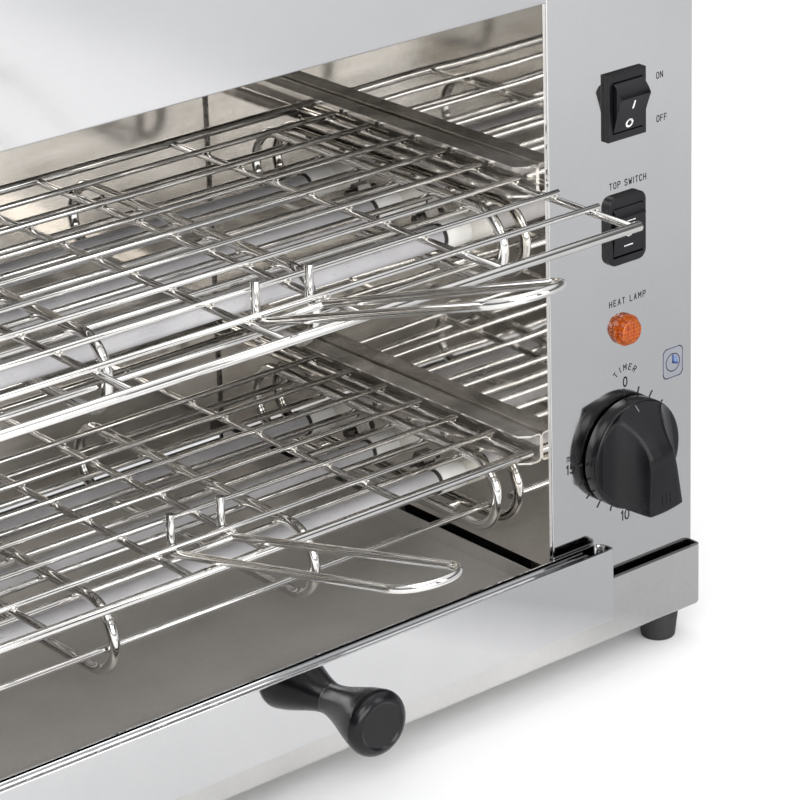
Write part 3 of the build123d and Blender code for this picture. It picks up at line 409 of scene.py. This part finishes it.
GLYPH = {
    "A": (4, [[(0, 0), (2, 6), (4, 0)], [(0.75, 2), (3.25, 2)]]),
    "C": (4, [[(4, 4.8), (3.1, 6), (0.9, 6), (0, 4.9), (0, 1.1), (0.9, 0), (3.1, 0), (4, 1.2)]]),
    "E": (3.8, [[(3.8, 0), (0, 0), (0, 6), (3.8, 6)], [(0, 3.1), (3.2, 3.1)]]),
    "F": (3.8, [[(0, 0), (0, 6), (3.8, 6)], [(0, 3.1), (3.2, 3.1)]]),
    "H": (4, [[(0, 0), (0, 6)], [(4, 0), (4, 6)], [(0, 3), (4, 3)]]),
    "I": (0.6, [[(0.3, 0), (0.3, 6)]]),
    "L": (3.6, [[(0, 6), (0, 0), (3.6, 0)]]),
    "M": (4.4, [[(0, 0), (0, 6), (2.2, 2.4), (4.4, 6), (4.4, 0)]]),
    "N": (4, [[(0, 0), (0, 6), (4, 0), (4, 6)]]),
    "O": (4, [[(1, 0), (3, 0), (4, 1.2), (4, 4.8), (3, 6), (1, 6), (0, 4.8), (0, 1.2), (1, 0)]]),
    "P": (4, [[(0, 0), (0, 6), (3, 6), (4, 5.1), (4, 3.8), (3, 2.9), (0, 2.9)]]),
    "R": (4, [[(0, 0), (0, 6), (3, 6), (4, 5.1), (4, 3.8), (3, 2.9), (0, 2.9)], [(2.2, 2.9), (4, 0)]]),
    "S": (4, [[(4, 5), (3.1, 6), (0.9, 6), (0, 5.1), (0, 4), (0.8, 3.3), (3.2, 2.7), (4, 2), (4, 0.9), (3.1, 0), (0.9, 0), (0, 1)]]),
    "T": (4, [[(0, 6), (4, 6)], [(2, 6), (2, 0)]]),
    "W": (4.8, [[(0, 6), (1.2, 0), (2.4, 4.2), (3.6, 0), (4.8, 6)]]),
    "0": (3.4, [[(1, 0), (2.4, 0), (3.4, 1.4), (3.4, 4.6), (2.4, 6), (1, 6), (0, 4.6), (0, 1.4), (1, 0)]]),
    "1": (2.0, [[(0.3, 4.8), (1.5, 6), (1.5, 0)]]),
    "5": (3.6, [[(3.5, 6), (0.5, 6), (0.2, 3.4), (1, 3.9), (2.7, 3.9), (3.6, 2.9), (3.6, 1.1), (2.7, 0), (0.9, 0), (0, 0.9)]]),
    "m": (4, [[(0, 0), (0, 4)], [(0, 3.2), (0.8, 4), (1.5, 4), (2, 3.3), (2, 0)], [(2, 3.3), (2.8, 4), (3.5, 4), (4, 3.3), (4, 0)]]),
    "i": (0.6, [[(0.3, 0), (0.3, 4)], [(0.3, 5.3), (0.3, 5.6)]]),
    "n": (3, [[(0, 0), (0, 4)], [(0, 3), (1, 4), (2.2, 4), (3, 3.2), (3, 0)]]),
    " ": (2.2, []),
}


def word(text, cx, cz, height, squeeze=0.75, gap=1.7):
    """Strokes of a word centred on (cx, cz), cap height in mm."""
    k = height / 6.0
    adv = [GLYPH[c][0] * squeeze + gap for c in text]
    x = -(sum(adv) - gap) / 2
    out = []
    for c, a in zip(text, adv):
        for pl in GLYPH[c][1]:
            out.append([(cx + (x + u * squeeze) * k, cz + (v - 3) * k) for u, v in pl])
        x += a
    return out


def on_panel(u, v, h):
    return P(u, -h, v)


INK = 0.03


def print_piece(name, polys, w, mat, slot="panel_steel"):
    v, f = prisms(strokes(polys, w), on_panel, INK)
    return make(name, v, f, mat, "housing", smooth=False)


# ---------------------------------------------------------------------------
# printing on the control panel
# ---------------------------------------------------------------------------
DX, DZ = 181.2, 53.2
ticks = []
for k in range(16):
    a = math.radians(18 * k)
    s, c = math.sin(a), math.cos(a)
    ticks.append([(DX + s * 24.4, DZ + c * 24.4), (DX + s * 26.8, DZ + c * 26.8)])
print_piece("dial_ticks", ticks, 0.95, M["ink"])
numbers = word("0", DX + 0.5, 83.4, 3.9, 0.85) + word("10", DX, 23.0, 4.2, 0.9, 1.5) + word("15", 150.4, 53.2, 3.9, 0.9, 1.5)
print_piece("dial_numbers", numbers, 0.68, M["ink"])
print_piece("dial_minutes", word("min", 150.9, 58.4, 3.2, 0.75, 1.3), 0.38, M["ink"])
timer = []
for k, ch in enumerate("TIMER"):
    a = math.radians((-43, -21, 0, 22, 44)[k])
    wdt, pls = GLYPH[ch]
    for pl in pls:
        pts = []
        for u, v in pl:
            x, y = (u - wdt / 2) * 0.34, (v - 3) * 0.40
            pts.append((DX + 0.4 + math.sin(a) * (7.8 + y) + math.cos(a) * x, DZ + 28.9 + math.cos(a) * (7.8 + y) - math.sin(a) * x))
        timer.append(pts)
print_piece("timer_word", timer, 0.44, M["ink"])
print_piece("heat_lamp_words", word("HEAT LAMP", 183.2, 119.7, 2.5, 0.78, 2.75), 0.43, M["ink"])
print_piece("top_switch_words", word("TOP SWITCH", 183.7, 170.6, 2.5, 0.78, 2.3), 0.43, M["ink"])
print_piece("on_word", word("ON", 201.6, 211.9, 2.5, 0.78, 2.0), 0.43, M["ink"])
print_piece("off_word", word("OFF", 202.7, 193.5, 2.5, 0.78, 2.0), 0.43, M["ink"])


def rounded(cx, cz, w, h, r, n=6):
    pts = []
    for (sx, sz), a0 in (((1, 1), 0), ((-1, 1), 90), ((-1, -1), 180), ((1, -1), 270)):
        for k in range(n + 1):
            a = math.radians(a0 + 90.0 * k / n)
            pts.append(Vector((cx + sx * (w / 2 - r) + math.cos(a) * r, cz + sz * (h / 2 - r) + math.sin(a) * r)))
    return pts


def ring_poly(cx, cz, r, n=32, rz=None):
    rz = rz or r
    return [(cx + math.cos(2 * math.pi * k / n) * r, cz + math.sin(2 * math.pi * k / n) * rz) for k in range(n + 1)]


CX, CZ = 209.1, 84.4
v, f = prisms([rounded(CX, CZ, 11.1, 13.2, 2.2)], on_panel, 0.015)
make("clock_field", v, f, M["lavender"], "housing", False)
edge = [tuple(p) for p in rounded(CX, CZ, 11.1, 13.2, 2.2)]
print_piece("clock_lines", [edge + edge[:1], ring_poly(CX, CZ, 3.9, 30)], 0.5, M["slate"])
wedge = [Vector((CX, CZ))] + [Vector((CX + math.cos(math.radians(90 - 11 * k)) * 3.0, CZ + math.sin(math.radians(90 - 11 * k)) * 3.0)) for k in range(11)]
v, f = prisms([wedge], on_panel, INK)
make("clock_sector", v, f, M["paleblue"], "housing", False)
v, f = prisms(strokes([[(CX, CZ), (CX, CZ + 3.1)], [(CX, CZ), (CX + 2.7, CZ - 0.9)]], 0.95), on_panel, INK + 0.012)
make("clock_hands", v, f, M["blue"], "housing", False)


# ---------------------------------------------------------------------------
# marks moulded into the rockers: laid onto the curved faces
# ---------------------------------------------------------------------------
def tree_of(name):
    o = nodes[name]
    return BVHTree.FromPolygons([v.co.copy() for v in o.data.vertices], [list(p.vertices) for p in o.data.polygons])


def on_face(tree):
    def place(u, v, h):
        start = P(u, -60.0, v)
        hit = tree.ray_cast(start, Vector((0, 1, 0)))
        y = hit[0].y if hit[0] is not None else P(0, 0, 0).y
        return Vector((start.x, y - h / 1000.0, start.z))
    return place


def split(polys, step=0.5):
    out = []
    for pl in polys:
        pts = [Vector(pl[0])]
        for a, b in zip(pl, pl[1:]):
            a, b = Vector(a), Vector(b)
            n = max(1, int((b - a).length / step))
            pts += [a.lerp(b, (k + 1) / n) for k in range(n)]
        out.append([tuple(p) for p in pts])
    return out


def marks(name, node, polys, w, body):
    v, f = prisms(strokes(split(polys), w), on_face(tree_of(node)), 0.05)
    return make(name, v, f, M["white"], body, False)


marks("power_marks", "power_rocker", [[(181.5, 203.9), (181.5, 206.9)], ring_poly(181.5, 197.0, 1.6, 20)], 0.78, "power_rocker")
marks("top_marks", "top_rocker", [[(179.1, 155.9), (183.5, 155.9)], [(179.1, 154.3), (183.5, 154.3)],
                                  ring_poly(181.3, 150.3, 1.5, 20), [(179.1, 144.7), (183.5, 144.7)]], 0.5, "top_rocker")

# ---------------------------------------------------------------------------
# weld beads where the rack wires cross, and on the guards
# ---------------------------------------------------------------------------
def beads(name, centres, r, body):
    verts, faces = [], []
    bm = bmesh.new()
    bmesh.ops.create_icosphere(bm, subdivisions=2, radius=1.0)
    bv = [v.co.copy() for v in bm.verts]
    bf = [[v.index for v in f.verts] for f in bm.faces]
    bm.free()
    for c in centres:
        s = len(verts)
        ph = [rng.uniform(0, 6.28) for _ in range(3)]
        sx, sy, sz = (r * rng.uniform(0.85, 1.2), r * rng.uniform(0.85, 1.2), r * rng.uniform(0.7, 0.9))
        for q in bv:
            k = 1.0 + 0.10 * math.sin(3 * q.x + ph[0]) * math.cos(4 * q.y + ph[1]) + 0.06 * math.sin(5 * q.z + ph[2])
            verts.append(c + Vector((q.x * sx, q.y * sy, q.z * sz)) * k / 1000.0)
        faces += [[s + i for i in f] for f in bf]
    return make(name, verts, faces, M["weld"], body)


ROD_X = (134.8, 68.0, 0.3, -36.0, -103.7, -170.5)
for deck, rod_z, w8 in (("lower", 61.25, 32.6), ("upper", 177.5, -33.1)):
    cs = []
    for rx in ROD_X:
        for k in range(8):
            for s in (-1, 1):
                cs.append(P(rx + s * 1.25, w8 + k * 23.4, rod_z + 1.42))
        for ey in (w8 - 23.4 + 2.0, w8 + 8 * 23.4 - 2.0):
            cs.append(P(rx, ey, rod_z + 1.0))
    beads(f"{deck}_rack_welds", cs, 0.85, f"{deck}_rack")

BANKS = {"lower": (36.0, 0.0), "middle": (148.0, -7.0), "top": (268.0, -7.0)}
cs = []
for zc, dy in BANKS.values():
    for gx in (133.5, 36.0, -63.2, -161.5):
        for ry in (51.0, 73.5, 96.0, 119.0, 143.0, 166.0):
            cs.append(P(gx + 1.6, ry + dy, zc + 15.5 - 2.3))
            cs.append(P(gx - 1.6, ry + dy, zc + 15.5 - 2.3))
beads("guard_welds", cs, 0.8, "housing")

# dark strips in the rear corners of the toasting space: painted shade of the gaps at the folded seams
for name, xa, xb in (("right_corner_painted_shade", 139.1, 139.38), ("left_corner_painted_shade", -174.8, -175.08)):
    pts = [Vector((224.3, 12.0)), Vector((225.8, 12.0)), Vector((225.8, 289.0)), Vector((224.3, 289.0))]
    v, f = prisms([pts], lambda u, w, h: P(xa if h > 0 else xb, u, w), 1.0)
    make(name, v, f, M["nut"], "housing", False)

# stiffening fold along the back wall of the tray front's channel
fold = [Vector(p) for p in ((-1.2, 12.5), (-2.4, 12.9), (-3.2, 12.9), (-3.8, 12.5), (-3.9, 12.1), (-3.4, 11.7), (-1.2, 11.6))]
v, f = prisms([fold], lambda u, w, h: P(157.0 if h > 0 else -188.0, u, w), 1.0)
make("channel_fold", v, f, M["bright"], "crumb_tray", False)

# ---------------------------------------------------------------------------
# heating coils, wound inside the frosted tubes
# ---------------------------------------------------------------------------
verts, faces = [], []
TURNS, STEPS, SIDES, CR, WR = 140, 10, 5, 2.5, 0.27
for zc, dy in BANKS.values():
    for ty in (59.0, 103.0, 147.0):
        s = len(verts)
        n = TURNS * STEPS
        for i in range(n + 1):
            a = 2 * math.pi * i / STEPS
            cx = -158.0 + 280.5 * i / n
            rad = Vector((0, math.cos(a), math.sin(a)))
            c = Vector((cx, ty + dy, zc)) + rad * CR
            for k in range(SIDES):
                b = 2 * math.pi * k / SIDES
                q = c + rad * (WR * math.cos(b)) + Vector((1, 0, 0)) * (WR * math.sin(b))
                verts.append(P(q.x, q.y, q.z))
        for i in range(n):
            for k in range(SIDES):
                j = (k + 1) % SIDES
                faces.append([s + i * SIDES + k, s + i * SIDES + j, s + (i + 1) * SIDES + j, s + (i + 1) * SIDES + k])
        faces.append([s + k for k in range(SIDES)][::-1])
        faces.append([s + n * SIDES + k for k in range(SIDES)])
coils = make("wound_coils", verts, faces, M["coil"], "housing")
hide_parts("heating_coils")

# ---------------------------------------------------------------------------
# timer knob: a smooth grip with hollow flanks and a flared tail on a round skirt
# ---------------------------------------------------------------------------
TURN = math.radians(4.5)


def dial_point(x, y, h):
    """Across the pointer, along it, and out from the panel, in millimetres."""
    return P(DX + x * math.cos(TURN) - y * math.sin(TURN), -h, DZ + x * math.sin(TURN) + y * math.cos(TURN))


BACK = ((-4.0, 24.0, 0.0), (3.6, 23.0, -0.29), (9.3, 20.0, -0.66), (16.0, 14.8, -0.90), (23.0, 8.2, -0.98))


def ramp_height(y):
    """The grip's back: level over the tail, then a smooth fall to the rim at the pointer."""
    if y <= BACK[0][0]:
        return BACK[0][1]
    for (y0, h0, m0), (y1, h1, m1) in zip(BACK, BACK[1:]):
        if y <= y1:
            d = y1 - y0
            t = (y - y0) / d
            return ((2 * t ** 3 - 3 * t ** 2 + 1) * h0 + (t ** 3 - 2 * t ** 2 + t) * d * m0
                    + (3 * t ** 2 - 2 * t ** 3) * h1 + (t ** 3 - t ** 2) * d * m1)
    return BACK[-1][1]


def scoop(x, y):
    """Height of the hollow flank over (x, y)."""
    c = 24.5 - y * math.tan(math.radians(5.5))
    return 25.5 - math.sqrt(max(0.0, 17.7 ** 2 - (c - x) ** 2))


def scoop_edge(h, y):
    c = 24.5 - y * math.tan(math.radians(5.5))
    return c - math.sqrt(max(0.0, 17.7 ** 2 - (25.5 - h) ** 2))


def plan_half(y):
    ring = math.sqrt(max(0.01, 23.3 ** 2 - y * y))
    if y < 0:
        return max(ring, 12.3 - 2.9 * (-y) / 21.6)
    return ring


def grip_section(y, shrink):
    top = ramp_height(y) - shrink
    w = plan_half(y) - shrink * 0.8
    edge = min(scoop_edge(top, y) - shrink * 0.5, w - 0.02)
    low = 7.7
    side = max(low + 0.02, min(scoop(w, y), top - 0.02) - 0.25)
    pts = [(w, low), (w, side)]
    for k in range(1, 15):
        x = w + (edge + 0.22 - w) * k / 14.0
        pts.append((x, max(low + 0.03, min(scoop(x, y), top - 0.18))))
    pts.append((edge + 0.03, top - 0.10))
    pts.append((max(edge - 0.16, 0.02), top - 0.01))
    for u in (0.75, 0.5, 0.25):
        pts.append((max(edge - 0.16, 0.02) * u, top + 0.10 * (1 - u)))
    pts.append((0.0, top + 0.10))
    return [(-x, h) for x, h in pts] + [(x, h) for x, h in pts[-2::-1]]


secs = []
for d, sh in ((0.0, 0.9), (0.10, 0.5), (0.32, 0.22), (0.62, 0.06), (0.95, 0.0)):
    secs.append((-21.0 + d, sh))
y = -19.7
while y < 22.7:
    secs.append((y, 0.0))
    y += 0.35
secs.append((22.9, 0.0))
verts, faces = [], []
ring_n = len(grip_section(0, 0))
for y, sh in secs:
    bulge = max(0.0, min(1.0, (-y - 15.0) / 6.0))
    for x, h in grip_section(y, sh):
        verts.append(dial_point(x, y - 0.6 * bulge * (1.0 - (x / 9.0) ** 2), h))
for i in range(len(secs) - 1):
    for k in range(ring_n - 1):
        a, b2 = i * ring_n + k, (i + 1) * ring_n + k
        faces.append([a, a + 1, b2 + 1, b2])
    faces.append([i * ring_n + ring_n - 1, i * ring_n, (i + 1) * ring_n, (i + 1) * ring_n + ring_n - 1])
faces.append(list(range(ring_n)))
faces.append([(len(secs) - 1) * ring_n + k for k in range(ring_n)][::-1])
# skirt
profile = [(0.0, 0.9), (22.6, 0.9), (23.7, 1.3), (24.0, 2.0), (24.0, 7.2), (23.85, 7.75), (23.5, 8.1), (22.9, 8.3), (0.0, 8.3)]
s0, SEG = len(verts), 96
for r, h in profile[1:-1]:
    for k in range(SEG):
        a = 2 * math.pi * k / SEG
        verts.append(dial_point(r * math.cos(a), r * math.sin(a), h))
rings = len(profile) - 2
for i in range(rings - 1):
    for k in range(SEG):
        j = (k + 1) % SEG
        faces.append([s0 + i * SEG + k, s0 + i * SEG + j, s0 + (i + 1) * SEG + j, s0 + (i + 1) * SEG + k])
faces.append([s0 + k for k in range(SEG)][::-1])
faces.append([s0 + (rings - 1) * SEG + k for k in range(SEG)])
knob = make("timer_knob_grip", verts, faces, M["knob"], "timer_dial")
for p in knob.data.polygons:
    if len(p.vertices) > 4:
        p.use_smooth = False
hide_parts("timer_knob")
# pale line on the pointer
verts, faces = [], []
for k in range(13):
    yy = 20.6 + 2.2 * k / 12
    for x, dh in ((-0.21, 0.15), (0.21, 0.15), (0.21, -0.2), (-0.21, -0.2)):
        verts.append(dial_point(x, yy, ramp_height(yy) + dh))
for i in range(12):
    for k in range(4):
        j = (k + 1) % 4
        faces.append([i * 4 + k, i * 4 + j, (i + 1) * 4 + j, (i + 1) * 4 + k])
faces.append([0, 1, 2, 3])
faces.append([48, 49, 50, 51])
make("timer_pointer_line", verts, faces, M["pointer"], "timer_dial", False)
# three short ribs on the back of the tail
v, f = prisms(strokes([[(x, -12.4 - 0.5 * abs(x)), (x, -17.6)] for x in (-2.2, 0.0, 2.2)], 0.5),
              lambda u, w, h: dial_point(u, w, 24.0 + (0.22 if h > 0 else -0.3)), 1.0)
make("timer_grip_ribs", v, f, M["knob"], "timer_dial", False)

# ---------------------------------------------------------------------------
# floor, light and camera
# ---------------------------------------------------------------------------
me = bpy.data.meshes.new("studio_floor")
me.from_pydata([(-9, -9, 0), (9, -9, 0), (9, 9, 0), (-9, 9, 0)], [], [[0, 1, 2, 3]])
floor = bpy.data.objects.new("studio_floor", me)
bpy.context.scene.collection.objects.link(floor)
m, nt, b = new_mat("studio_floor")
white_floor = mix_col(nt, noise(nt, coords(nt), 3.0, 2.0), (0.93, 0.93, 0.93), (0.95, 0.95, 0.95))
# in the steel's reflections the studio is greyer towards the front right
sep = nt.nodes.new("ShaderNodeSeparateXYZ")
nt.links.new(coords(nt), sep.inputs[0])
across = math_node(nt, "SUBTRACT", sep.outputs["X"], math_node(nt, "MULTIPLY", sep.outputs["Y"], 0.56))
far = math_node(nt, "MAXIMUM", remap(nt, sep.outputs["Y"], -0.60, -0.57, 0.0, 1.0),
                remap(nt, sep.outputs["X"], 0.52, 0.57, 0.0, 1.0))
grey = math_node(nt, "MULTIPLY", remap(nt, across, 0.185, 0.245, 0.0, 1.0), far)
grey = math_node(nt, "MULTIPLY", grey, remap(nt, across, 0.55, 1.10, 1.0, 0.68))
path = nt.nodes.new("ShaderNodeLightPath")
grey = math_node(nt, "MULTIPLY", grey, path.outputs["Is Glossy Ray"])
nt.links.new(mix_col(nt, grey, white_floor, (0.53, 0.535, 0.545)), b.inputs["Base Color"])
b.inputs["Roughness"].default_value = 0.9
b.inputs["Specular IOR Level"].default_value = 0.1
me.materials.append(m)

world = bpy.data.worlds.new("studio")
bpy.context.scene.world = world
world.use_nodes = True
wn = world.node_tree
wn.nodes.clear()
wo = wn.nodes.new("ShaderNodeOutputWorld")
bg = wn.nodes.new("ShaderNodeBackground")
tc = wn.nodes.new("ShaderNodeTexCoord")
sep = wn.nodes.new("ShaderNodeSeparateXYZ")
ramp = wn.nodes.new("ShaderNodeValToRGB")
wn.links.new(tc.outputs["Generated"], sep.inputs[0])
wn.links.new(sep.outputs["Z"], ramp.inputs[0])
ramp.color_ramp.elements[0].position = 0.0
ramp.color_ramp.elements[0].color = (0.55, 0.55, 0.56, 1)
ramp.color_ramp.elements[1].position = 1.0
ramp.color_ramp.elements[1].color = (1.0, 1.0, 1.0, 1)
for at, level in ((0.03, 0.45), (0.17, 0.13), (0.40, 0.14), (0.58, 0.80)):
    e = ramp.color_ramp.elements.new(at)
    e.color = (level, level, level * 1.02, 1)
wn.links.new(ramp.outputs[0], bg.inputs[0])
bg.inputs[1].default_value = 1.15
wn.links.new(bg.outputs[0], wo.inputs[0])


def area(name, loc, target, size, energy, size_y=None):
    li = bpy.data.lights.new(name, "AREA")
    li.shape = "RECTANGLE"
    li.size = size
    li.size_y = size_y or size
    li.energy = energy
    o = bpy.data.objects.new(name, li)
    bpy.context.scene.collection.objects.link(o)
    o.location = loc
    d = Vector(target) - Vector(loc)
    o.rotation_mode = "QUATERNION"
    o.rotation_quaternion = d.to_track_quat("-Z", "Y")
    return o


area("key_softbox", (-1.3, -1.5, 1.7), (0, 0, 0.15), 1.3, 17, 1.0)
area("top_softbox", (0.1, 0.1, 2.0), (0, 0, 0.2), 1.6, 8)
area("front_strip", (0.9, -1.6, 0.9), (0.05, 0, 0.15), 0.4, 6, 1.3)
area("low_front_softbox", (-0.55, -1.9, 0.62), (-0.02, 0.1, 0.15), 1.8, 21, 0.7)

cam_data = bpy.data.cameras.new("camera")
cam = bpy.data.objects.new("camera", cam_data)
bpy.context.scene.collection.objects.link(cam)
right = Vector((0.765796, -0.642452, -0.028493)).normalized()
fwd = Vector((0.585032, 0.714379, -0.383928)).normalized()
up = right.cross(fwd).normalized()
rot = Matrix((right, up, -fwd)).transposed()
cam.matrix_world = Matrix.Translation(P(-767.32, -1011.17, 653.59)) @ rot.to_4x4()
cam_data.sensor_width = 36.0
cam_data.lens = 162.39
cam_data.clip_start, cam_data.clip_end = 0.05, 50.0
bpy.context.scene.camera = cam
bpy.context.scene.view_settings.view_transform = "Standard"
